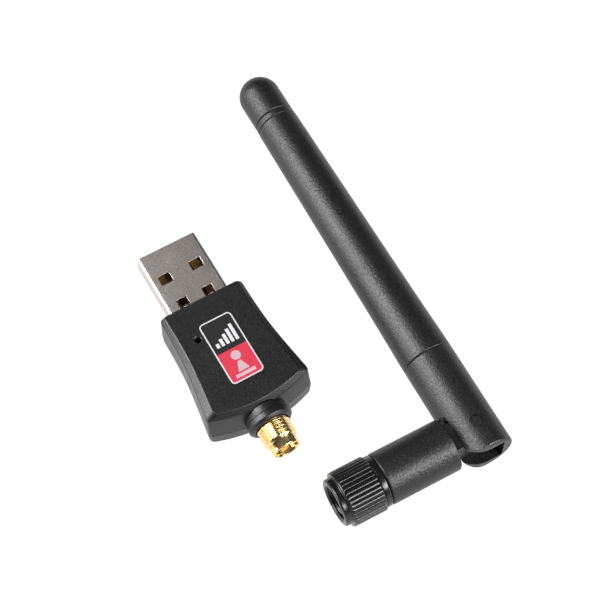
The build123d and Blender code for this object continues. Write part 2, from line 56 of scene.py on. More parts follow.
table_size = 4.0
table_drop = 0.00002
bpy.context.scene.view_settings.view_transform = "Standard"

bm = bmesh.new()
bmesh.ops.create_grid(bm, x_segments=1, y_segments=1, size=table_size / 2)
bmesh.ops.translate(bm, verts=bm.verts, vec=(0, 0, -table_drop))
table_mesh = bpy.data.meshes.new("table")
bm.to_mesh(table_mesh)
bm.free()
table = bpy.data.objects.new("table", table_mesh)
bpy.context.collection.objects.link(table)

table_paint = bpy.data.materials.new("table_paint")
table_paint.use_nodes = True
paint = table_paint.node_tree.nodes["Principled BSDF"]
paint.inputs["Base Color"].default_value = (0.07, 0.07, 0.07, 1)
paint.inputs["Roughness"].default_value = 0.9
paint.inputs["Emission Color"].default_value = (1, 1, 1, 1)
paint.inputs["Emission Strength"].default_value = 0.98
table_mesh.materials.append(table_paint)

tent = bpy.data.worlds.new("tent")
tent.use_nodes = True
bpy.context.scene.world = tent
tent_nodes, tent_links = tent.node_tree.nodes, tent.node_tree.links
direction = tent_nodes.new("ShaderNodeTexCoord")
height = tent_nodes.new("ShaderNodeSeparateXYZ")
glow = tent_nodes.new("ShaderNodeValToRGB")
glow.color_ramp.elements[0].position = 0.0
glow.color_ramp.elements[0].color = (1.0, 1.0, 1.0, 1)
glow.color_ramp.elements[1].position = 0.9
glow.color_ramp.elements[1].color = (0.15, 0.15, 0.155, 1)
horizon = glow.color_ramp.elements.new(0.05)
horizon.color = (0.19, 0.19, 0.19, 1)
shoulder = glow.color_ramp.elements.new(0.35)
shoulder.color = (0.063, 0.063, 0.063, 1)
tent_links.new(direction.outputs["Generated"], height.inputs[0])
tent_links.new(height.outputs["Z"], glow.inputs[0])
tent_links.new(glow.outputs[0], tent_nodes["Background"].inputs["Color"])
tent_nodes["Background"].inputs["Strength"].default_value = 1.0


def softbox(name, direction, distance, size, watts):
    """A square area light that faces the middle of the set."""
    lamp = bpy.data.lights.new(name, "AREA")
    lamp.shape = "RECTANGLE"
    lamp.size, lamp.size_y = size
    lamp.energy = watts
    holder = bpy.data.objects.new(name, lamp)
    aim = Vector(direction).normalized()
    holder.location = Vector((0.018, 0.005, 0)) + aim * distance
    holder.rotation_euler = aim.to_track_quat("Z", "Y").to_euler()
    bpy.context.collection.objects.link(holder)


softbox("left_softbox", (-0.61, 0.39, 0.69), 0.60, (0.30, 0.44), 6.0)
softbox("front_softbox", (0.34, -0.66, 0.61), 0.60, (0.42, 0.21), 4.6)
softbox("low_left_softbox", (-0.92, 0.30, 0.20), 0.60, (0.50, 0.16), 1.5)
softbox("low_right_softbox", (0.58, -0.80, 0.16), 0.60, (0.26, 0.12), 0.7)

camera_data = bpy.data.cameras.new("camera")
camera_data.sensor_width = 36.0
camera_data.lens = 93.7
camera_distance = 0.29302
camera_target = Vector((0.01775, 0.00678, 0))
camera_data.clip_start = 0.01
camera = bpy.data.objects.new("camera", camera_data)
bpy.context.collection.objects.link(camera)
turn, rise = math.radians(29.93), math.radians(63.64)
level_reach = math.cos(rise)
looking = Vector((math.sin(turn) * level_reach, math.cos(turn) * level_reach, -math.sin(rise)))
camera.location = camera_target - looking * camera_distance
camera.rotation_euler = (math.pi / 2 - rise, 0, -turn)
bpy.context.scene.camera = camera


# ---------- USB plug: tube
# The plug's outer tube is nickel-plated sheet steel, folded to a flat oblong. Two
# latch windows and two slots for spring tabs go through its top and its bottom.

mm = 0.001
joint = {j["name"]: j for j in frame["joints"]}
mount = {m["name"]: m for m in frame["record"]["mounts"]}
dongle = Matrix.Identity(4)


def corner_points(node):
    """A node's lowest and highest corner in millimetres."""
    low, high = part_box(node)
    return low / mm, high / mm


def add_piece(name, bm, place, body, replaced, material, crease=35, flat_ends=True):
    """Turns a bmesh in millimetres into a piece on a body, in place of its CAD nodes."""
    bmesh.ops.remove_doubles(bm, verts=bm.verts, dist=0.0005)
    bmesh.ops.recalc_face_normals(bm, faces=bm.faces)
    for edge in bm.edges:
        edge.smooth = not (edge.is_manifold and edge.calc_face_angle(0) > math.radians(crease))
    for face in bm.faces:
        face.smooth = True
    bmesh.ops.transform(bm, matrix=Matrix.Scale(mm, 4) @ place, verts=bm.verts)
    mesh = bpy.data.meshes.new(name)
    bm.to_mesh(mesh)
    bm.free()
    mesh.materials.append(material)
    piece = bpy.data.objects.new(name, mesh)
    bpy.context.collection.objects.link(piece)
    if flat_ends:
        level = piece.modifiers.new("flat_faces", "WEIGHTED_NORMAL")
        level.keep_sharp = True
        level.weight = 80
    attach(piece, body)
    if replaced:
        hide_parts(*replaced)
    return piece


def new_material(name):
    """A Principled material, with its node tree, its shader and its object coordinates."""
    material = bpy.data.materials.new(name)
    material.use_nodes = True
    tree = material.node_tree
    place = tree.nodes.new("ShaderNodeTexCoord")
    return material, tree, tree.nodes["Principled BSDF"], place.outputs["Object"]


def put(tree, kind, **values):
    """A node with some of its input sockets set by name."""
    node = tree.nodes.new(kind)
    for name, value in values.items():
        node.inputs[name.replace("_", " ")].default_value = value
    return node


def mix_colour(tree, factor, first, second):
    """A colour mix, whose factor is a socket and whose two colours are sockets or values."""
    node = tree.nodes.new("ShaderNodeMix")
    node.data_type = "RGBA"
    tree.links.new(factor, node.inputs["Factor"])
    for socket, colour in ((node.inputs[6], first), (node.inputs[7], second)):
        if isinstance(colour, bpy.types.NodeSocket):
            tree.links.new(colour, socket)
        else:
            socket.default_value = (*colour, 1)
    return node.outputs[2]


def shader_group(name, inputs, outputs):
    """An empty node group: its tree, its input node and its output node."""
    group = bpy.data.node_groups.new(name, "ShaderNodeTree")
    for way, sockets in (("INPUT", inputs), ("OUTPUT", outputs)):
        for socket, kind in sockets.items():
            group.interface.new_socket(socket, in_out=way, socket_type=f"NodeSocket{kind}")
    return group, group.nodes.new("NodeGroupInput"), group.nodes.new("NodeGroupOutput")


def tint(tree, shader, factor, first, second):
    """Gives the shader a mix of two colours as its base colour."""
    tree.links.new(mix_colour(tree, factor, first, second), shader.inputs["Base Color"])


# Fine grain: the small pits that a spark-eroded mould or a rolled sheet leaves.
grain, into, out = shader_group(
    "fine_grain",
    {"Vector": "Vector", "Fineness": "Float", "Depth": "Float", "Strength": "Float"},
    {"Normal": "Vector", "Pits": "Float"},
)
cells = put(grain, "ShaderNodeTexNoise", Detail=3.0, Roughness=0.6)
bump = grain.nodes.new("ShaderNodeBump")
grain.links.new(into.outputs["Vector"], cells.inputs["Vector"])
grain.links.new(into.outputs["Fineness"], cells.inputs["Scale"])
grain.links.new(cells.outputs["Fac"], bump.inputs["Height"])
grain.links.new(into.outputs["Depth"], bump.inputs["Distance"])
grain.links.new(into.outputs["Strength"], bump.inputs["Strength"])
grain.links.new(bump.outputs["Normal"], out.inputs["Normal"])
grain.links.new(cells.outputs["Fac"], out.inputs["Pits"])

# Handling: broad faint patches where fingers have polished or dulled a surface.
handling, into, out = shader_group(
    "handling",
    {"Vector": "Vector", "Patch Scale": "Float", "Smooth": "Float", "Dull": "Float"},
    {"Roughness": "Float", "Mask": "Float"},
)
patches = put(handling, "ShaderNodeTexNoise", Detail=4.0, Roughness=0.55)
spread = put(handling, "ShaderNodeMapRange", From_Min=0.35, From_Max=0.65)
handling.links.new(into.outputs["Vector"], patches.inputs["Vector"])
handling.links.new(into.outputs["Patch Scale"], patches.inputs["Scale"])
handling.links.new(patches.outputs["Fac"], spread.inputs["Value"])
handling.links.new(into.outputs["Smooth"], spread.inputs["To Min"])
handling.links.new(into.outputs["Dull"], spread.inputs["To Max"])
handling.links.new(spread.outputs["Result"], out.inputs["Roughness"])
handling.links.new(patches.outputs["Fac"], out.inputs["Mask"])

# Edge wear: a mask that is bright along convex edges and broken up by noise.
wear, into, out = shader_group("edge_wear", {"Vector": "Vector", "Amount": "Float"}, {"Mask": "Float"})
shape = wear.nodes.new("ShaderNodeNewGeometry")
convex = put(wear, "ShaderNodeMapRange", From_Min=0.51, From_Max=0.60)
broken = put(wear, "ShaderNodeTexNoise", Scale=1800.0, Detail=4.0)
chips = wear.nodes.new("ShaderNodeMath")
chips.operation = "MULTIPLY"
scaled = wear.nodes.new("ShaderNodeMath")
scaled.operation = "MULTIPLY"
scaled.use_clamp = True
wear.links.new(shape.outputs["Pointiness"], convex.inputs["Value"])
wear.links.new(into.outputs["Vector"], broken.inputs["Vector"])
wear.links.new(convex.outputs["Result"], chips.inputs[0])
wear.links.new(broken.outputs["Fac"], chips.inputs[1])
wear.links.new(chips.outputs[0], scaled.inputs[0])
wear.links.new(into.outputs["Amount"], scaled.inputs[1])
wear.links.new(scaled.outputs[0], out.inputs["Mask"])


def place_group(tree, group, vector, **values):
    """A node group in a material, fed with coordinates and its own values."""
    node = tree.nodes.new("ShaderNodeGroup")
    node.node_tree = group
    tree.links.new(vector, node.inputs["Vector"])
    for name, value in values.items():
        node.inputs[name.replace("_", " ")].default_value = value
    return node


def mottled(tree, patches, pits, amount):
    """A roughness that follows both the broad patches and the single pits of the grain."""
    both = tree.nodes.new("ShaderNodeMath")
    both.operation = "MULTIPLY_ADD"
    tree.links.new(pits, both.inputs[0])
    both.inputs[1].default_value = amount
    tree.links.new(patches, both.inputs[2])
    return both.outputs[0]


def moulded_plastic(name, dark, light, smooth, dull, fineness, depth, strength, worn=0.5):
    """Black moulded plastic: two close tones in its grain, polished patches and rubbed edges."""
    material, tree, shader, where = new_material(name)
    pits = place_group(tree, grain, where, Fineness=fineness, Depth=depth, Strength=strength)
    touch = place_group(tree, handling, where, Patch_Scale=90.0, Smooth=smooth, Dull=dull)
    rubbed = place_group(tree, wear, where, Amount=worn)
    tone = mix_colour(tree, pits.outputs["Pits"], dark, light)
    edge = [min(1, 2.2 * c) for c in light]
    tint(tree, shader, rubbed.outputs["Mask"], tone, edge)
    rough = mottled(tree, touch.outputs["Roughness"], pits.outputs["Pits"], 0.40)
    tree.links.new(rough, shader.inputs["Roughness"])
    tree.links.new(pits.outputs["Normal"], shader.inputs["Normal"])
    return material


def plated_metal(name, dark, light, smooth, dull, fineness, depth, strength, stretch=(1, 1, 1)):
    """Plated or drawn metal: tone and roughness vary along its grain."""
    material, tree, shader, where = new_material(name)
    along = put(tree, "ShaderNodeMapping", Scale=stretch)
    tree.links.new(where, along.inputs["Vector"])
    pits = place_group(
        tree, grain, along.outputs[0], Fineness=fineness, Depth=depth, Strength=strength
    )
    touch = place_group(tree, handling, where, Patch_Scale=160.0, Smooth=smooth, Dull=dull)
    tint(tree, shader, pits.outputs["Pits"], dark, light)
    rough = mottled(tree, touch.outputs["Roughness"], pits.outputs["Pits"], 0.16)
    tree.links.new(rough, shader.inputs["Roughness"])
    tree.links.new(pits.outputs["Normal"], shader.inputs["Normal"])
    shader.inputs["Metallic"].default_value = 1.0
    return material


def dress(materials):
    """Gives the CAD nodes that are shown as they are their materials."""
    for node, material in materials.items():
        frame["nodes"][node].data.materials.clear()
        frame["nodes"][node].data.materials.append(material)


plug_steel = plated_metal(
    "plug_steel", (0.36, 0.33, 0.30), (0.74, 0.69, 0.64), 0.25, 0.29, 2900.0, 0.00005, 0.8
)

shell_low, shell_high = corner_points("usb_shell")
plug_tip = shell_high.y
plug_height = (shell_low.z + shell_high.z) / 2
sheet = 0.3
bend_radius = 0.55
wall_point = 0.35
window_from_tip = 5.1
window_length = 2.05
window_rows = (plug_tip - window_from_tip - window_length, plug_tip - window_from_tip)
case_plug_end = corner_points("case_top")[1].y
tab_slot_length = 2.6
tab_slot_top = case_plug_end + tab_slot_length
window_columns = (2.0, 4.4)
tab_columns = (1.575, 3.625)


def tube_section():
    """The folded tube's section: a rounded rectangle with a point at each window edge."""
    half_width, half_height = shell_high.x, (shell_high.z - shell_low.z) / 2
    columns = sorted({*window_columns, *tab_columns})
    face = [-x for x in reversed(columns)] + columns
    top = [(x, half_height) for x in face]
    middle_x, middle_z = half_width - bend_radius, half_height - bend_radius
    bend = [
        (middle_x + bend_radius * math.sin(a), middle_z + bend_radius * math.cos(a))
        for a in [math.radians(18 * step) for step in range(6)]
    ]
    right = [(half_width, wall_point), (half_width, -wall_point)]
    lower = [(x, -z) for x, z in reversed(bend)]
    bottom = [(-x, -half_height) for x in face]
    lower_left = [(-x, -z) for x, z in bend]
    left = [(-half_width, -wall_point), (-half_width, wall_point)]
    upper_left = [(-x, z) for x, z in reversed(bend)]
    return top + bend + right + lower + bottom + lower_left + left + upper_left


def in_window(x, y):
    """Whether a point of the top or the bottom lies in a latch window or a tab slot."""
    beside = window_columns[0] < abs(x) < window_columns[1]
    latch = beside and window_rows[0] < y < window_rows[1]
    return latch or (tab_columns[0] < abs(x) < tab_columns[1] and y < tab_slot_top)


bm = bmesh.new()
ring = [bm.verts.new((x, shell_low.y, plug_height + z)) for x, z in tube_section()]
edges = [bm.edges.new((a, b)) for a, b in zip(ring, ring[1:] + ring[:1])]
stations = [shell_low.y, tab_slot_top, *window_rows, plug_tip]
for before, after in zip(stations, stations[1:]):
    drawn = bmesh.ops.extrude_edge_only(bm, edges=edges)["geom"]
    fresh = [g for g in drawn if isinstance(g, bmesh.types.BMVert)]
    edges = [g for g in drawn if isinstance(g, bmesh.types.BMEdge)]
    bmesh.ops.translate(bm, verts=fresh, vec=(0, after - before, 0))
holes = []
for face in bm.faces:
    middle = face.calc_center_median()
    if abs(face.normal.z) > 0.9 and in_window(middle.x, middle.y):
        holes.append(face)
bmesh.ops.delete(bm, geom=holes, context="FACES")
bmesh.ops.recalc_face_normals(bm, faces=bm.faces)
usb_shell = add_piece(
    "plug_tube", bm, dongle, "adapter", ["usb_shell"], plug_steel, flat_ends=False
)
wall = usb_shell.modifiers.new("sheet", "SOLIDIFY")
wall.thickness = sheet * mm
wall.offset = -1.0
wall.use_even_offset = True
round_over = usb_shell.modifiers.new("deburred", "BEVEL")
round_over.width = 0.05 * mm
round_over.segments = 2
round_over.limit_method = "ANGLE"
round_over.angle_limit = math.radians(60)
level = usb_shell.modifiers.new("flat_faces", "WEIGHTED_NORMAL")
level.keep_sharp = True


# ---------- USB plug: tabs and carrier
# Each slot beside the case shows a spring tab, bent down out of the same sheet, that
# grips the plastic carrier. The carrier is dark, and four gold contacts lie in it.

tab_width = 1.3
tab_offset = 0.3
tab_tilt = {-1: 0.10, 1: 0.38}
tab_length = 2.4
tab_drop = 0.75
tab_root = 0.9
tab_curl = 0.55 * math.pi

bm = bmesh.new()
for side in (-1, 1):
    for face in (-1, 1):
        surface = plug_height + face * (shell_high.z - plug_height - sheet)
        centre = side * (tab_columns[0] + tab_columns[1]) / 2 + tab_offset
        strip = bmesh.ops.create_grid(bm, x_segments=2, y_segments=8, size=0.5)["verts"]
        for vert in strip:
            along = vert.co.y + 0.5
            drop = tab_drop * math.sin(along * tab_curl)
            y = case_plug_end - tab_root + along * tab_length
            tilted = (0.5 - vert.co.x) * tab_width * tab_tilt[side]
            vert.co = (centre + vert.co.x * tab_width, y, surface - face * (drop + tilted))
tab_piece = add_piece(
    "plug_tabs", bm, dongle, "adapter", [], plug_steel, flat_ends=False
)
tab_sheet = 0.2
wall = tab_piece.modifiers.new("sheet", "SOLIDIFY")
wall.thickness = tab_sheet * mm
wall.offset = 0.0

carrier_plastic = moulded_plastic(
    "carrier_plastic", (0.035, 0.018, 0.010), (0.075, 0.040, 0.022),
    0.29, 0.44, 5000.0, 0.00001, 0.2
)
contact_gold = plated_metal(
    "contact_gold", (0.80, 0.50, 0.20), (0.95, 0.66, 0.30),
    0.10, 0.24, 2500.0, 0.000008, 0.25, (1, 0.12, 1)
)

low, high = corner_points("usb_insulator")
bm = bmesh.new()
bmesh.ops.create_cube(bm, size=1.0)
bmesh.ops.scale(bm, verts=bm.verts, vec=high - low)
bmesh.ops.translate(bm, verts=bm.verts, vec=(high + low) / 2)
contact_low, contact_high = corner_points("usb_contacts")
contact_spans = ((-3.5, 1.5), (-1.0, 1.2), (1.0, 1.2), (3.5, 1.5))
groove_sides = [x + side * width / 2 for x, width in contact_spans for side in (-1, 1)]
cuts = [((x, 0, 0), (1, 0, 0)) for x in groove_sides] + [((0, contact_high.y, 0), (0, 1, 0))]
for point, across in cuts:
    whole = bm.verts[:] + bm.edges[:] + bm.faces[:]
    bmesh.ops.bisect_plane(bm, geom=whole, plane_co=point, plane_no=across)
grooves = [
    f for f in bm.faces
    if f.normal.z > 0.9 and f.calc_center_median().y < contact_high.y
    and any(abs(f.calc_center_median().x - x) < 0.2 for x, _ in contact_spans)
]
sunk = bmesh.ops.extrude_discrete_faces(bm, faces=grooves)["faces"]
floor_verts = list({v for f in sunk for v in f.verts})
bmesh.ops.translate(bm, verts=floor_verts, vec=(0, 0, contact_low.z - high.z))
edges = [e for e in bm.edges if e.is_manifold and e.calc_face_angle(0) > 1.0]
bmesh.ops.bevel(bm, geom=edges, offset=0.05, segments=2, profile=0.5, affect="EDGES", material=-1)
add_piece("contact_carrier", bm, dongle, "adapter", ["usb_insulator"], carrier_plastic)

bm = bmesh.new()
contact_size = contact_high - contact_low
contact_middle = (contact_high + contact_low) / 2
for x, width in contact_spans:
    strip = bmesh.ops.create_cube(bm, size=1.0)["verts"]
    bmesh.ops.scale(bm, verts=strip, vec=(width, contact_size.y, contact_size.z))
    bmesh.ops.translate(bm, verts=strip, vec=(x, contact_middle.y, contact_middle.z))
edges = [e for e in bm.edges if e.calc_face_angle(0) > 1.0]
bmesh.ops.bevel(bm, geom=edges, offset=0.06, segments=2, profile=0.5, affect="EDGES", material=-1)
add_piece("plug_contacts", bm, dongle, "adapter", ["usb_contacts"], contact_gold)


# ---------- circuit board
# Glass-fibre board with green solder mask over copper tracks. The chips, the crystal
# can, the regulator and the lamp are soldered to its top face inside the case.

board_mask, tree, shader, where = new_material("board_mask")
tracks = put(
    tree, "ShaderNodeTexBrick", Scale=420.0, Mortar_Size=0.06, Brick_Width=0.9, Row_Height=0.35
)
tree.links.new(where, tracks.inputs["Vector"])
weave = place_group(tree, grain, where, Fineness=4200.0, Depth=0.00001, Strength=0.3)
tint(tree, shader, tracks.outputs["Fac"], (0.004, 0.075, 0.030), (0.020, 0.160, 0.065))
tree.links.new(weave.outputs["Normal"], shader.inputs["Normal"])
shader.inputs["Roughness"].default_value = 0.32
shader.inputs["Coat Weight"].default_value = 0.4

chip_epoxy = moulded_plastic(
    "chip_epoxy", (0.012, 0.012, 0.014), (0.028, 0.028, 0.031),
    0.34, 0.49, 9000.0, 0.000008, 0.4, 0.2
)
can_metal = plated_metal(
    "can_metal", (0.62, 0.61, 0.58), (0.78, 0.77, 0.74),
    0.12, 0.27, 2600.0, 0.00001, 0.2, (1, 0.2, 1)
)

ceramic, tree, shader, where = new_material("ceramic")
ends = put(tree, "ShaderNodeTexWave", Scale=260.0, Distortion=0.0)
ends.bands_direction = "Y"
firing = place_group(tree, grain, where, Fineness=6000.0, Depth=0.00001, Strength=0.3)
tree.links.new(where, ends.inputs["Vector"])
tint(tree, shader, ends.outputs["Fac"], (0.30, 0.20, 0.12), (0.60, 0.58, 0.55))
tree.links.new(firing.outputs["Normal"], shader.inputs["Normal"])
shader.inputs["Roughness"].default_value = 0.45

lamp_resin, tree, shader, where = new_material("lamp_resin")
cloud = place_group(tree, handling, where, Patch_Scale=900.0, Smooth=0.15, Dull=0.3)
tint(tree, shader, cloud.outputs["Mask"], (0.75, 0.72, 0.50), (0.90, 0.88, 0.72))
tree.links.new(cloud.outputs["Roughness"], shader.inputs["Roughness"])

dress({
    "circuit_board": board_mask,
    "network_chip": chip_epoxy,
    "regulator": chip_epoxy,
    "crystal": can_metal,
    "small_parts": ceramic,
    "status_led": lamp_resin,
})


# ---------- antenna jack
# Turned brass, gold plated: a quarter-inch thread of 36 turns to the inch, a plain
# nose, and a bore with a centre pin held in white fluoropolymer.

jack_gold = plated_metal(
    "jack_gold", (0.88, 0.60, 0.25), (1.0, 0.78, 0.42),
    0.04, 0.12, 1500.0, 0.000004, 0.2, (1, 3, 1)
)

# Painted shade: the hollows of the thread and the bore are painted a darker brown than the crests, more so where
# the surface curves further inwards, so that they look deeper.
tree = jack_gold.node_tree
shader = tree.nodes["Principled BSDF"]
curve = tree.nodes.new("ShaderNodeNewGeometry")
painted_hollow_shade = put(tree, "ShaderNodeMapRange", From_Min=0.498, From_Max=0.44, To_Max=0.85)
bright_gold = shader.inputs["Base Color"].links[0].from_socket
tree.links.new(curve.outputs["Pointiness"], painted_hollow_shade.inputs["Value"])
tint(tree, shader, painted_hollow_shade.outputs["Result"], bright_gold, (0.20, 0.10, 0.03))

jack_low, jack_high = corner_points("jack_body")
jack_tip = -jack_low.y
jack_back = -jack_high.y + 2.6
thread_radius = mount["antenna_jack"]["dims"]["r_mm"]
thread_middle = -mount["antenna_jack"]["pos_m"][1] / mm
thread_half = mount["antenna_jack"]["dims"]["length_mm"] / 2
thread_pitch = 25.4 / 36
thread_depth = 0.36
nose_radius = 2.65
jack_bore_radius = 2.3
jack_height = mount["antenna_jack"]["pos_m"][2] / mm
jack_place = Matrix.Translation((0, 0, jack_height)) @ Matrix.Rotation(math.pi / 2, 4, "X")


def rounded(outline, radius, steps=4):
    """The outline with its inner corners replaced by small arcs."""
    points = [Vector(p) for p in outline]
    smooth = [points[0]]
    for before, corner, after in zip(points, points[1:], points[2:]):
        reach = min(radius, (before - corner).length * 0.45, (after - corner).length * 0.45)
        start = corner + (before - corner).normalized() * reach
        end = corner + (after - corner).normalized() * reach
        for step in range(steps + 1):
            t = step / steps
            smooth.append(start * (1 - t) ** 2 + corner * 2 * t * (1 - t) + end * t ** 2)
    smooth.append(points[-1])
    return smooth


def turned(outline, steps=96, closed=False):
    """A bmesh turned on a lathe: an outline of radius and distance, spun about its own axis."""
    bm = bmesh.new()
    verts = [bm.verts.new((r, 0, z)) for r, z in outline]
    edges = [bm.edges.new(pair) for pair in zip(verts, verts[1:])]
    if closed:
        edges.append(bm.edges.new((verts[-1], verts[0])))
    bmesh.ops.spin(
        bm, geom=verts + edges, cent=(0, 0, 0), axis=(0, 0, 1), angle=2 * math.pi,
        steps=steps, use_merge=True,
    )
    bmesh.ops.remove_doubles(bm, verts=bm.verts, dist=0.0005)
    return bm


shank_radius = 2.9
thread_start = thread_middle - thread_half
thread_end = thread_middle + thread_half
rows = 90
profile = [
    (2.0, jack_back), (3.7, jack_back), (3.7, jack_back + 1.2),
    (shank_radius, jack_back + 1.2), (shank_radius, thread_start - 0.1),
]
profile += [
    (thread_radius, thread_start + (thread_end - thread_start) * row / rows)
    for row in range(rows + 1)
]
profile += [
    (nose_radius + 0.04, thread_end + 0.32),
    (nose_radius, thread_end + 0.36),
    (nose_radius, jack_tip - 0.22),
    (nose_radius - 0.05, jack_tip - 0.08),
    (nose_radius - 0.14, jack_tip),
    (jack_bore_radius + 0.06, jack_tip),
    (jack_bore_radius, jack_tip - 0.07),
    (jack_bore_radius, jack_tip - 3.0),
    (2.0, jack_tip - 3.0),
]
bm = turned(profile, steps=120, closed=True)
for vert in bm.verts:
    radius = math.hypot(vert.co.x, vert.co.y)
    on_thread = thread_start - 0.01 < vert.co.z < thread_end + 0.01
    if abs(radius - thread_radius) < 0.01 and on_thread:
        angle = math.atan2(vert.co.y, vert.co.x)
        phase = (vert.co.z / thread_pitch + angle / (2 * math.pi)) % 1.0
        cut = min(1.0, max(0.0, 1.25 - 2.7 * abs(phase - 0.5)))
        fade = min(1.0, (thread_end - vert.co.z) / 0.25)
        depth = thread_depth * (cut * fade + 0.45 * (1 - fade))
        vert.co.x *= (radius - depth) / radius
        vert.co.y *= (radius - depth) / radius
add_piece("jack_barrel", bm, jack_place, "adapter", ["jack_body"], jack_gold, crease=50)

fluoropolymer = moulded_plastic(
    "fluoropolymer", (0.72, 0.71, 0.67), (0.86, 0.85, 0.82),
    0.24, 0.39, 3000.0, 0.00001, 0.2, 0.0
)
jack_face = -corner_points("jack_insulator")[0].y
pin_tip = -corner_points("jack_pin")[0].y
pin_root = -corner_points("jack_pin")[1].y
bead = [(0.46, jack_back), (2.05, jack_back), (2.05, jack_face), (0.46, jack_face)]
bm = turned(rounded(bead, 0.05), 64, True)
add_piece(
    "jack_dielectric", bm, jack_place, "adapter", ["jack_insulator"], fluoropolymer
)
pin = [(0, pin_root), (0.45, pin_root), (0.45, pin_tip - 0.2), (0.18, pin_tip), (0, pin_tip)]
bm = turned(rounded(pin, 0.1), 32)
add_piece("jack_centre_pin", bm, jack_place, "adapter", ["jack_pin"], jack_gold)


# ---------- case shells
# Two black moulded shells meet at a fine parting line. The plan flares towards the
# jack, whose end is bowed, and a facet runs round the edge of the top.

case_plastic = moulded_plastic(
    "case_plastic", (0.0018, 0.0018, 0.0020), (0.0050, 0.0050, 0.0054),
    0.17, 0.22, 3000.0, 0.00004, 0.8, 0.35
)

bottom_low, bottom_high = corner_points("case_bottom")
parting = bottom_high.z
case_top_z = corner_points("case_top")[1].z
plug_end_y = bottom_high.y
jack_end_y = bottom_low.y
plug_end_half = 8.5
waist_y = 3.0
flare_slope = 0.155
flare_softness = 2.5
bow = 1.9


def half_width(y):
    """Half the case's width: straight at the plug end, then flaring smoothly."""
    flare = math.log1p(math.exp((waist_y - y) / flare_softness))
    return plug_end_half + flare_slope * flare_softness * flare


def arc_between(start, corner, end, steps):
    """Points of a soft corner from start to end."""
    curve = []
    for step in range(steps + 1):
        t = step / steps
        u = 1 - t
        curve.append(start * u ** 2 + corner * 2 * t * u + end * t ** 2)
    return curve


def case_ring(bm, z, side, flare_side, jack_inset, plug_inset, corner=1.0, plug_corner=0.9):
    """One closed loop round the case at a height.

    It is drawn in by an inset at the sides of the plug end, at the sides of the flare, at
    the jack end and at the plug end, and its corners are softened by two radii.
    """
    y_plug = plug_end_y - plug_inset
    y_jack = jack_end_y + jack_inset

    def width_at(y):
        share = (plug_end_y - y) / (plug_end_y - jack_end_y)
        return half_width(y) - side - (flare_side - side) * share

    def front_at(x):
        return y_jack + bow * (x / 10.0) ** 2

    shoulder_y = front_at(10.0)
    shoulder = Vector((width_at(shoulder_y), shoulder_y))
    plug_point = Vector((width_at(y_plug), y_plug))
    start = Vector((plug_point.x - plug_corner, y_plug))
    end = Vector((width_at(y_plug - plug_corner), y_plug - plug_corner))
    right = arc_between(start, plug_point, end, 6)
    top, low = y_plug - plug_corner, shoulder.y + corner
    side_rows = 22
    for step in range(1, side_rows):
        y = top + (low - top) * step / side_rows
        right.append(Vector((width_at(y), y)))
    side_end = Vector((width_at(low), low))
    inner_x = shoulder.x - corner
    front_start = Vector((inner_x, front_at(inner_x)))
    right += arc_between(side_end, shoulder, front_start, 8)
    for step in range(1, 10):
        x = inner_x * (1 - step / 10)
        right.append(Vector((x, front_at(x))))
    loop = right + [Vector((0, y_jack))] + [Vector((-p.x, p.y)) for p in reversed(right)]
    loop.append(Vector((0, y_plug)))
    verts = [bm.verts.new((p.x, p.y, z)) for p in loop]
    return [bm.edges.new(pair) for pair in zip(verts, verts[1:] + verts[:1])]


def stack(bm, rings, cap_first=True, cap_last=True):
    """Skins a stack of loops, and closes its first and last ones."""
    for lower, upper in zip(rings, rings[1:]):
        bmesh.ops.bridge_loops(bm, edges=lower + upper)
    if cap_first:
        bmesh.ops.contextual_create(bm, geom=rings[0])
    if cap_last:
        bmesh.ops.contextual_create(bm, geom=rings[-1])


def moved(bm, place):
    """A bmesh after a move, in millimetres."""
    bmesh.ops.transform(bm, matrix=place, verts=bm.verts)
    return bm


def carve(bm, *tools, operation="DIFFERENCE"):
    """The bmesh after closed tools are taken from it or joined to it. The tools are used up."""
    made = []
    for source in (bm, *tools):
        bmesh.ops.recalc_face_normals(source, faces=source.faces)
        mesh = bpy.data.meshes.new("blank")
        source.to_mesh(mesh)
        source.free()
        made.append(bpy.data.objects.new("blank", mesh))
        bpy.context.collection.objects.link(made[-1])
    for tool in made[1:]:
        cut = made[0].modifiers.new("cut", "BOOLEAN")
        cut.operation = operation
        cut.solver = "EXACT"
        cut.object = tool
    bpy.context.view_layer.update()
    result = bmesh.new()
    result.from_mesh(made[0].evaluated_get(bpy.context.evaluated_depsgraph_get()).data)
    for used in made:
        bpy.data.objects.remove(used)
    return result


def round_uprights(bm, radius, segments):
    """Rounds the upright edges of blocks."""
    upright = [e for e in bm.edges if abs((e.verts[0].co - e.verts[1].co).normalized().z) > 0.99]
    bmesh.ops.bevel(
        bm, geom=upright, offset=radius, segments=segments, profile=0.5, affect="EDGES", material=-1
    )


def block(centre, size, round_corner=0.0):
    """A block in millimetres, whose upright edges may be rounded."""
    bm = bmesh.new()
    bmesh.ops.create_cube(bm, size=1.0)
    bmesh.ops.scale(bm, verts=bm.verts, vec=size)
    if round_corner:
        round_uprights(bm, round_corner, 6)
    bmesh.ops.translate(bm, verts=bm.verts, vec=centre)
    return bm


def plug_slot():
    """The plug's slot, as a closed tool."""
    middle = Matrix.Translation((0, plug_end_y, plug_height))
    return moved(block((0, 0, 0), (12.1, 4.6, 12), 0.6), middle @ Matrix.Rotation(math.pi / 2, 4, "X"))


def jack_hole():
    """The hole for the neck of the jack's collar, as a closed tool."""
    radius, inner, outer = 4.05, -jack_end_y - 3.5, -jack_end_y + 2
    return moved(turned([(0, inner), (radius, inner), (radius, outer), (0, outer)], 72), jack_place)


def pry_notch():
    """The notch that opens the shells, on the parting line."""
    return block((-half_width(0.8), 0.8, parting + 0.15), (0.9, 1.3, 0.7))


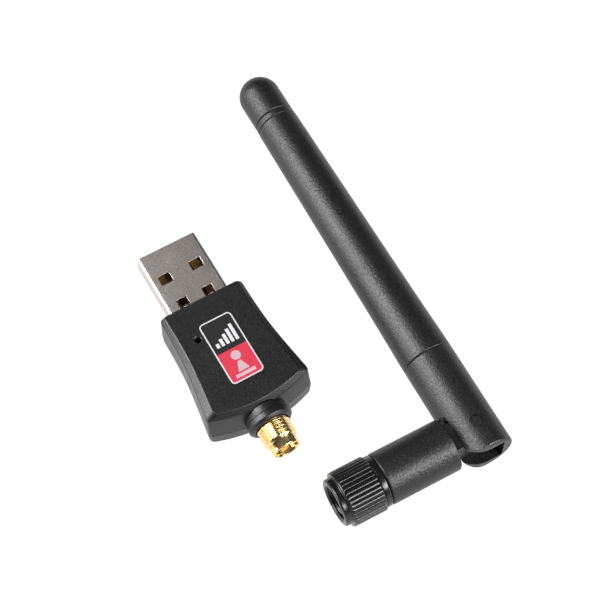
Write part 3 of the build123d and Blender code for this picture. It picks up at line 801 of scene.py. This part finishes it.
label_low, label_high = corner_points("label")
low_margin = Vector((0.36, 0.33, 0))
high_margin = Vector((0.29, 0.15, 0))
label_low -= low_margin
label_high += high_margin
label_middle = (label_low + label_high) / 2
label_size = label_high - label_low

bm = bmesh.new()
stack(bm, [
    case_ring(bm, 0.0, 0.40, 0.40, 0.34, 0.36, 1.2, 0.5),
    case_ring(bm, 0.1, 0.22, 0.22, 0.15, 0.14, 1.2, 0.6),
    case_ring(bm, 0.4, 0.08, 0.08, 0.04, 0.04, 1.2, 0.8),
    case_ring(bm, 1.6, 0.04, 0.04, 0.05, 0.02),
    case_ring(bm, parting - 0.10, 0.0, 0.0, 0.0, 0.0),
    case_ring(bm, parting - 0.03, 0.10, 0.10, 0.10, 0.10),
    case_ring(bm, parting - 0.3, 1.2, 1.2, 1.2, 1.2, 0.9, 0.6),
    case_ring(bm, 1.1, 1.5, 1.5, 1.5, 1.3, 0.9, 0.6),
])
bm = carve(bm, plug_slot(), jack_hole(), pry_notch())
add_piece("lower_shell", bm, dongle, "adapter", ["case_bottom"], case_plastic, crease=40)

bm = bmesh.new()
shoulder_z = case_top_z - 1.0
stack(bm, [
    case_ring(bm, case_top_z - 1.1, 1.5, 1.6, 2.6, 1.3, 0.9, 0.6),
    case_ring(bm, parting + 0.3, 1.2, 1.2, 1.2, 1.2, 0.9, 0.6),
    case_ring(bm, parting + 0.03, 0.10, 0.10, 0.10, 0.10),
    case_ring(bm, parting + 0.10, 0.0, 0.0, 0.02, 0.0),
    case_ring(bm, 5.4, 0.07, 0.06, 0.38, 0.02, 0.95),
    case_ring(bm, shoulder_z - 0.22, 0.12, 0.10, 0.80, 0.05, 0.9),
    case_ring(bm, shoulder_z, 0.15, 0.14, 0.92, 0.07, 0.85, 0.85),
    case_ring(bm, shoulder_z + 0.12, 0.24, 0.26, 1.04, 0.11, 0.8, 0.8),
    case_ring(bm, case_top_z - 0.11, 0.84, 1.56, 1.68, 0.30, 0.7, 0.6),
    case_ring(bm, case_top_z - 0.03, 0.94, 1.68, 1.78, 0.38, 0.6, 0.5),
    case_ring(bm, case_top_z, 1.07, 1.83, 1.91, 0.50, 0.5, 0.4),
])
lamp_low, lamp_high = corner_points("status_led")
lamp_middle = (lamp_low + lamp_high) / 2
lamp_hole = turned(
    [(0, -3.0), (0.58, -3.0), (0.58, -0.16), (0.78, 0.02), (0.78, 0.4), (0, 0.4)], 48
)
lamp_place = Matrix.Translation((lamp_middle.x, lamp_middle.y, case_top_z))
label_corner = 0.8
label_gap = 0.08
recess = block(
    (label_middle.x, label_middle.y, case_top_z),
    (label_size.x + label_gap, label_size.y + label_gap, 0.14),
    label_corner,
)
bm = carve(bm, plug_slot(), jack_hole(), pry_notch(), moved(lamp_hole, lamp_place), recess)
add_piece("upper_shell", bm, dongle, "adapter", ["case_top"], case_plastic, crease=40)

collar_low, collar_high = corner_points("jack_collar")
collar_tip = -collar_low.y
collar_root = -collar_high.y
collar_radius = collar_high.x
collar_outline = [
    (3.0, collar_root),
    (3.98, collar_root),
    (3.98, -jack_end_y - 0.1),
    (3.95, -jack_end_y + 0.3),
    (collar_radius, -jack_end_y + 0.42),
    (collar_radius, collar_tip - 0.56),
    (collar_radius - 0.52, collar_tip),
    (3.36, collar_tip),
    (3.28, collar_tip - 0.12),
    (3.28, collar_tip - 0.62),
    (3.0, collar_tip - 0.62),
    (3.0, collar_root),
]
bm = turned(rounded(collar_outline, 0.14), 96)
add_piece("jack_ferrule", bm, jack_place, "adapter", ["jack_collar"], case_plastic)


# ---------- label
# A printed film, let into the top. A white line frames a black half with five rising
# bars and a red half with a mast sign, both plain signs for radio.


def label_ink(name, dark, light, roughness):
    """Printed film: a colour with a very fine grain."""
    material, tree, shader, where = new_material(name)
    film = place_group(tree, grain, where, Fineness=7000.0, Depth=0.000006, Strength=0.25)
    tint(tree, shader, film.outputs["Pits"], dark, light)
    tree.links.new(film.outputs["Normal"], shader.inputs["Normal"])
    shader.inputs["Roughness"].default_value = roughness
    return material


label_black = label_ink("label_black", (0.004, 0.004, 0.0045), (0.009, 0.009, 0.010), 0.4)
label_red = label_ink("label_red", (0.37, 0.018, 0.040), (0.43, 0.028, 0.055), 0.38)
label_white = label_ink("label_white", (0.38, 0.38, 0.39), (0.50, 0.50, 0.51), 0.42)
label_grey = label_ink("label_grey", (0.35, 0.24, 0.265), (0.41, 0.29, 0.31), 0.42)

line_width = 0.24
ink = 0.012
half_y = label_middle.y - 0.2


def thicken(bm, thickness):
    """Draws every face of a flat bmesh up into a slab."""
    raised = bmesh.ops.extrude_face_region(bm, geom=bm.faces[:])["geom"]
    upper = [g for g in raised if isinstance(g, bmesh.types.BMVert)]
    bmesh.ops.translate(bm, verts=upper, vec=(0, 0, thickness))


def slab(outline, half):
    """A slab with a flat outline, as thick above its middle as below it."""
    bm = bmesh.new()
    bm.faces.new([bm.verts.new((x, y, -half)) for x, y in outline])
    thicken(bm, 2 * half)
    return bm


film_middle = (label_middle.x, label_middle.y, label_high.z - label_size.z / 2)
bm = block(film_middle, label_size, label_corner)
add_piece("label_film", bm, dongle, "adapter", ["label"], label_white)

inner = (label_size.x - 2 * line_width, label_size.y - 2 * line_width)
upper_length = label_high.y - line_width - half_y
lower_length = half_y - label_low.y - line_width


def half_panel(name, y, length, material):
    """One printed half of the label, rounded at its two outer corners."""
    bm = bmesh.new()
    bmesh.ops.create_grid(bm, x_segments=1, y_segments=1, size=0.5)
    bmesh.ops.scale(bm, verts=bm.verts, vec=(inner[0], length, 1))
    outward = 1 if y > half_y else -1
    corners = [v for v in bm.verts if v.co.y * outward > 0]
    bmesh.ops.bevel(
        bm, geom=corners, offset=0.55, segments=6, profile=0.5, affect="VERTICES", material=-1
    )
    thicken(bm, ink)
    bmesh.ops.translate(bm, verts=bm.verts, vec=(label_middle.x, y, label_high.z - 0.002))
    add_piece(name, bm, dongle, "adapter", [], material)


half_panel("label_black_half", half_y + upper_length / 2, upper_length, label_black)
half_panel("label_red_half", half_y - lower_length / 2, lower_length, label_red)

bm = bmesh.new()
sign_z = label_high.z + ink
bar_width, bar_pitch, bar_rise = 0.62, 0.95, 0.62
bar_foot = half_y + 1.1
for bar in range(5):
    bar_height = 0.95 + bar_rise * bar
    centre_x = label_middle.x + bar_pitch * (bar - 2)
    verts = bmesh.ops.create_cube(bm, size=1.0)["verts"]
    bmesh.ops.scale(bm, verts=verts, vec=(bar_width, bar_height, ink))
    bmesh.ops.translate(bm, verts=verts, vec=(centre_x, bar_foot + bar_height / 2, sign_z))
round_uprights(bm, 0.12, 3)
add_piece("label_bars", bm, dongle, "adapter", [], label_white)

mast_scale = 1.18
bm = bmesh.new()
mast_y = half_y - lower_length / 2
head = bmesh.ops.create_circle(bm, cap_ends=True, radius=0.78, segments=40)["verts"]
bmesh.ops.translate(bm, verts=head, vec=(0, 1.35, 0))
for outline in (
    [(-0.28, 0.32), (-0.95, -1.35), (0.95, -1.35), (0.28, 0.32)],
    [(-1.65, -1.62), (-1.65, -2.2), (1.65, -2.2), (1.65, -1.62)],
):
    bm.faces.new([bm.verts.new((x, y, 0)) for x, y in outline])
bmesh.ops.recalc_face_normals(bm, faces=bm.faces)
thicken(bm, ink)
bmesh.ops.scale(bm, verts=bm.verts, vec=(mast_scale, mast_scale, 1))
bmesh.ops.translate(bm, verts=bm.verts, vec=(label_middle.x, mast_y, sign_z - ink / 2))
add_piece("label_mast", bm, dongle, "adapter", [], label_grey)


# ---------- antenna: its plug
# Inside the coupling nut a gold-plated core turns freely. It holds a white insulator
# with the socket contact, and a split steel ring keeps the nut on it.

pivot = Vector(joint["arm_fold"]["pos_m"]) / mm
hinge_up = Vector(joint["arm_fold"]["axis"]).normalized()
mouth_way = Vector(joint["elbow_swivel"]["axis"]).normalized()
arm_way = hinge_up.cross(-mouth_way).normalized()


def lathe_place(way):
    """The frame of pieces that are turned about an axis through the hinge pin."""
    rotation = Matrix((hinge_up, way.cross(hinge_up), way)).transposed()
    return Matrix.Translation(pivot) @ rotation.to_4x4()


elbow_place = lathe_place(mouth_way)
arm_place = lathe_place(arm_way)


def turned_span(node, place):
    """Where a turned node starts and ends along its axis, and its largest radius."""
    back = place.inverted()
    local = [back @ (v.co / mm) for v in frame["nodes"][node].data.vertices]
    along = [p.z for p in local]
    return min(along), max(along), max(math.hypot(p.x, p.y) for p in local)


core_start, core_end, core_flange = turned_span("plug_core", elbow_place)
nut_start, nut_end, nut_radius = turned_span("coupling_nut", elbow_place)
flange_start = nut_start + 1.45
core_outline = [
    (1.8, core_start), (2.55, core_start), (2.55, flange_start), (core_flange, flange_start),
    (core_flange, flange_start + 0.8), (2.25, flange_start + 0.8), (2.25, core_end - 0.15),
    (2.1, core_end), (1.8, core_end), (1.8, core_start),
]
bm = turned(rounded(core_outline, 0.06), 80)
add_piece("plug_ferrule", bm, elbow_place, "antenna_plug", ["plug_core"], jack_gold)

start, end, _ = turned_span("plug_insulator", elbow_place)
bm = turned(rounded([(0.75, start), (1.8, start), (1.8, end), (0.75, end), (0.75, start)], 0.06), 64)
add_piece(
    "plug_dielectric", bm, elbow_place, "antenna_plug", ["plug_insulator"], fluoropolymer,
)

start, end, _ = turned_span("plug_contact", elbow_place)
socket = [
    (0, start), (0.75, start), (0.75, end - 0.1), (0.65, end),
    (0.55, end), (0.5, end - 0.08), (0.5, end - 3), (0, end - 3),
]
bm = turned(rounded(socket, 0.05), 40)
add_piece("plug_socket", bm, elbow_place, "antenna_plug", ["plug_contact"], jack_gold)

spring_steel = plated_metal(
    "spring_steel", (0.50, 0.50, 0.50), (0.66, 0.66, 0.66), 0.17, 0.32, 3000.0, 0.00001, 0.25
)
dress({"retaining_ring": spring_steel})


# ---------- coupling nut
# A glossy black nut with thirty-six straight ribs between two plain collars. Its
# mouth has the same thread as the jack, inside.

nut_gloss = moulded_plastic(
    "nut_gloss", (0.002, 0.002, 0.002), (0.004, 0.004, 0.004),
    0.0, 0.05, 2500.0, 0.00001, 0.12, 0.4
)
rib_count = 36
rib_depth = 0.32
rib_flat = 0.8
crown_depth = 0.08
mouth_thread_depth = 0.22
rib_start, rib_end = 20.2, 26.85
nut_neck_radius = 4.85
bore_radius = mount["nut_thread"]["dims"]["r_mm"]
nut_thread_length = mount["nut_thread"]["dims"]["length_mm"]
nut_thread_end = nut_end - 0.35
nut_thread_start = nut_thread_end - nut_thread_length
outside = rounded(
    [
        (2.6, nut_start), (4.7, nut_start), (nut_neck_radius, nut_start + 0.18),
        (nut_neck_radius, rib_start - 0.05), (nut_neck_radius - 0.12, rib_start),
    ],
    0.08,
)
ribbed = [(5.0, rib_start + 0.06), (5.11, rib_start + 0.16), (nut_radius, rib_start + 0.34)]
rib_rows = 12
ribbed += [
    (nut_radius, rib_start + 0.34 + (rib_end - rib_start - 1.0) * step / rib_rows)
    for step in range(1, rib_rows + 1)
]
ribbed += [
    (nut_radius, rib_end - 0.45), (nut_radius, rib_end - 0.22),
    (5.08, rib_end - 0.06), (4.95, rib_end),
]
mouth = rounded(
    [
        (4.95, rib_end), (4.5, rib_end + 0.03), (4.46, rib_end + 0.6), (4.46, nut_end - 0.25),
        (4.2, nut_end), (3.62, nut_end), (bore_radius + 0.02, nut_thread_end),
    ],
    0.12,
)
threads = 48
inside = [
    (bore_radius, nut_thread_end - nut_thread_length * step / threads) for step in range(threads + 1)
]
relief = [
    (3.55, nut_thread_start - 0.2), (3.55, nut_start + 1.35), (2.6, nut_start + 1.35), (2.6, nut_start)
]
bm = turned([*outside, *ribbed, *mouth[1:], *inside, *relief], steps=rib_count * 10)
for vert in bm.verts:
    radius = math.hypot(vert.co.x, vert.co.y)
    angle = math.atan2(vert.co.y, vert.co.x)
    if radius > 4.97 and rib_start < vert.co.z < rib_end - 0.3:
        across = abs(((angle / (2 * math.pi) * rib_count + 0.5) % 1.0) - 0.5) * 2
        crown = crown_depth * min(1.0, across / rib_flat) ** 2
        groove = (rib_depth - crown_depth) * max(0.0, across - rib_flat) / (1 - rib_flat)
        run_out = min(1.0, (vert.co.z - rib_start) / 0.2, (rib_end - 0.3 - vert.co.z) / 0.35)
        depth = (crown + groove) * max(0.0, run_out)
        vert.co.x *= (radius - depth) / radius
        vert.co.y *= (radius - depth) / radius
    elif abs(radius - bore_radius) < 0.005 and vert.co.z > nut_thread_start - 0.01:
        phase = (vert.co.z / thread_pitch + angle / (2 * math.pi)) % 1.0
        deeper = mouth_thread_depth * min(1.0, max(0.0, 1.3 - 2.8 * abs(phase - 0.5)))
        vert.co.x *= (radius + deeper) / radius
        vert.co.y *= (radius + deeper) / radius
add_piece("knurled_nut", bm, elbow_place, "nut", ["coupling_nut"], nut_gloss, crease=50)


# ---------- elbow
# The satin black barrel turns on the plug's tail. Its flat eye goes into the fork of
# the arm and turns there on the hinge pin.

antenna_plastic = moulded_plastic(
    "antenna_plastic", (0.0018, 0.0018, 0.0021), (0.0050, 0.0050, 0.0055),
    0.20, 0.25, 2300.0, 0.00010, 0.8, 0.35
)
elbow_start, elbow_end = 5.3, 18.95
elbow_radius = 4.9
eye_radius = 2.7
eye_half = 2.8
tail_bore = [
    (0, elbow_end + 1), (2.6, elbow_end + 1), (2.6, elbow_end - 4.4),
    (0.9, elbow_end - 4.4), (0.9, elbow_start + 0.6), (0, elbow_start + 0.6),
]
flat_turn = Matrix((-mouth_way, arm_way, hinge_up)).transposed().to_4x4()
flat_place = Matrix.Translation(pivot) @ flat_turn

barrel = [
    (0, elbow_start), (elbow_radius - 0.18, elbow_start), (elbow_radius, elbow_start + 0.2),
    (elbow_radius, elbow_end - 0.2), (elbow_radius - 0.16, elbow_end), (0, elbow_end),
]
bm = moved(turned(rounded(barrel, 0.12), 144), elbow_place)



def arc(first, steps, across, up):
    """Points of an arc in steps of 7.5 degrees."""
    angles = [math.radians(first + 7.5 * step) for step in range(steps)]
    return [(across * math.cos(a), up * math.sin(a)) for a in angles]


eye_root = -elbow_start - 0.8
eye = slab(
    [*arc(-90, 25, eye_radius, eye_radius), (eye_root, eye_radius), (eye_root, -eye_radius)], eye_half
)
bmesh.ops.recalc_face_normals(eye, faces=eye.faces)
rims = [
    e for e in eye.edges
    if e.is_manifold and e.calc_face_angle(0) > 1.2
    and abs(e.verts[0].co.z - e.verts[1].co.z) < 0.01
]
bmesh.ops.bevel(eye, geom=rims, offset=0.15, segments=3, profile=0.5, affect="EDGES", material=-1)
bm = carve(bm, moved(eye, flat_place), operation="UNION")
pin_hole = turned([(0, -4), (1.25, -4), (1.25, 4), (0, 4)], 48)
bm = carve(bm, moved(turned(tail_bore, 64), elbow_place), moved(pin_hole, flat_place))
add_piece(
    "elbow_barrel", bm, dongle, "elbow_body", ["elbow"], antenna_plastic, crease=38
)

coax_jacket = moulded_plastic(
    "coax_jacket", (0.16, 0.075, 0.03), (0.26, 0.13, 0.055), 0.14, 0.26, 2500.0, 0.00001, 0.2, 0.0
)
dress({"elbow_coax": coax_jacket, "arm_coax": coax_jacket})


# ---------- hinge barrel, pin
# The foot of the arm is a fork: a slot takes the elbow's eye, and opens to one side
# and to the back, so that the arm stops straight and square. The pin is pressed in.

arm_back, barrel_end, hinge_radius = turned_span("hinge_barrel", arm_place)
sleeve_start, sleeve_end, _ = turned_span("antenna_sleeve", arm_place)
seam = sleeve_start
sleeve_neck, sleeve_neck_radius, sleeve_tip_radius = 28.0, 4.66, 4.17

fork_outline = [
    (0, arm_back), (hinge_radius - 0.3, arm_back), (hinge_radius, arm_back + 0.32),
    (hinge_radius, seam - 0.16), (hinge_radius - 0.16, seam), (3.1, seam),
    (3.1, barrel_end), (0, barrel_end),
]
bm = moved(turned(rounded(fork_outline, 0.16, 5), 144), arm_place)

slot_half = eye_half + 0.1
slot_wall = 2.9
far = 12
slot_corner = arc(0, 13, slot_wall, slot_wall)
slot_outline = [
    (slot_wall, -far), *slot_corner, (-3.2, 3.45), (-4.4, 4.1), (-far, 4.6), (-far, -far)
]
slot = slab(slot_outline, slot_half)

ear_length = 5.0
ear_corner = arc(90, 13, ear_length, arm_back + 0.03)
ear = slab([(0, -far), *ear_corner, (-far, 0), (-far, -far)], 8)

pin_seat = turned([(0, -8), (1.2, -8), (1.2, 8), (0, 8)], 48)
cable_way = turned([(0, 1), (0.9, 1), (0.9, 30), (0, 30)], 32)
bm = carve(
    bm, moved(slot, flat_place), moved(ear, flat_place), moved(pin_seat, flat_place),
    moved(cable_way, arm_place),
)
fork = add_piece(
    "arm_fork", bm, dongle, "arm", ["hinge_barrel"], antenna_plastic,
    crease=38, flat_ends=False,
)
edge = fork.modifiers.new("moulded_edges", "BEVEL")
edge.width = 0.16 * mm
edge.segments = 3
edge.limit_method = "ANGLE"
edge.angle_limit = math.radians(40)
level = fork.modifiers.new("flat_faces", "WEIGHTED_NORMAL")
level.keep_sharp = True

pin_black = moulded_plastic(
    "pin_black", (0.0018, 0.0018, 0.0021), (0.0050, 0.0050, 0.0055),
    0.20, 0.25, 2300.0, 0.00010, 0.8, 0.4
)
pin_top = 4.73
pin_outline = [
    (0, -pin_top), (1.06, -pin_top), (1.18, -pin_top + 0.12),
    (1.18, pin_top - 0.12), (1.06, pin_top), (0, pin_top),
]
bm = turned(rounded(pin_outline, 0.06), 56)
add_piece("pivot_pin", bm, flat_place, "arm", ["hinge_pin"], pin_black)


# ---------- sleeve, ring and cap
# A long satin sleeve tapers a little. A thin ring and the rounded cap are pressed
# into its end, and each joint shows as a fine groove.

sleeve_outline = [
    (3.1, sleeve_start), (hinge_radius - 0.16, sleeve_start), (hinge_radius, sleeve_start + 0.16),
    (hinge_radius - 0.02, sleeve_start + 2.5), (sleeve_neck_radius + 0.06, sleeve_neck - 3.0),
    (sleeve_neck_radius - 0.03, sleeve_neck + 3.0), (sleeve_tip_radius, sleeve_end - 0.13),
    (sleeve_tip_radius - 0.15, sleeve_end), (3.1, sleeve_end), (3.1, sleeve_start),
]
bm = turned(rounded(sleeve_outline, 0.06), 160)
add_piece("long_sleeve", bm, arm_place, "arm", ["antenna_sleeve"], antenna_plastic)

ring_start, ring_end, ring_radius = turned_span("cap_ring", arm_place)
ring_outline = [
    (2.7, ring_start), (ring_radius - 0.2, ring_start), (ring_radius, ring_start + 0.16),
    (ring_radius, ring_end - 0.16), (ring_radius - 0.2, ring_end), (2.7, ring_end), (2.7, ring_start),
]
bm = turned(rounded(ring_outline, 0.08), 144)
add_piece("thin_ring", bm, arm_place, "arm", ["cap_ring"], antenna_plastic)

cap_start, cap_tip, cap_radius = turned_span("end_cap", arm_place)
cap_centre = cap_tip - cap_radius
dome_angles = [math.radians(6 * step) for step in range(16)]
dome = [
    (cap_radius * math.cos(a), cap_centre + cap_radius * math.sin(a)) for a in dome_angles
]
cap_outline = [
    (0, cap_start), (2.7, cap_start), (2.7, ring_end), (cap_radius - 0.25, ring_end),
    (cap_radius - 0.03, ring_end + 0.2),
]
bm = turned([*rounded(cap_outline, 0.08), *dome[:-1], (0, cap_tip)], 144)
add_piece("round_cap", bm, arm_place, "arm", ["end_cap"], antenna_plastic)


# ---------- radiator
# Out of sight in the sleeve: a drawn brass sleeve over the coax, a straight brass wire
# beyond it, and two white spacers that centre them.

radiator_brass = plated_metal(
    "radiator_brass", (0.62, 0.44, 0.17), (0.80, 0.60, 0.28),
    0.14, 0.30, 1800.0, 0.00001, 0.25, (1, 0.1, 1)
)
dress({
    "dipole_sleeve": radiator_brass,
    "radiator_wire": radiator_brass,
    "lower_spacer": fluoropolymer,
    "upper_spacer": fluoropolymer,
})
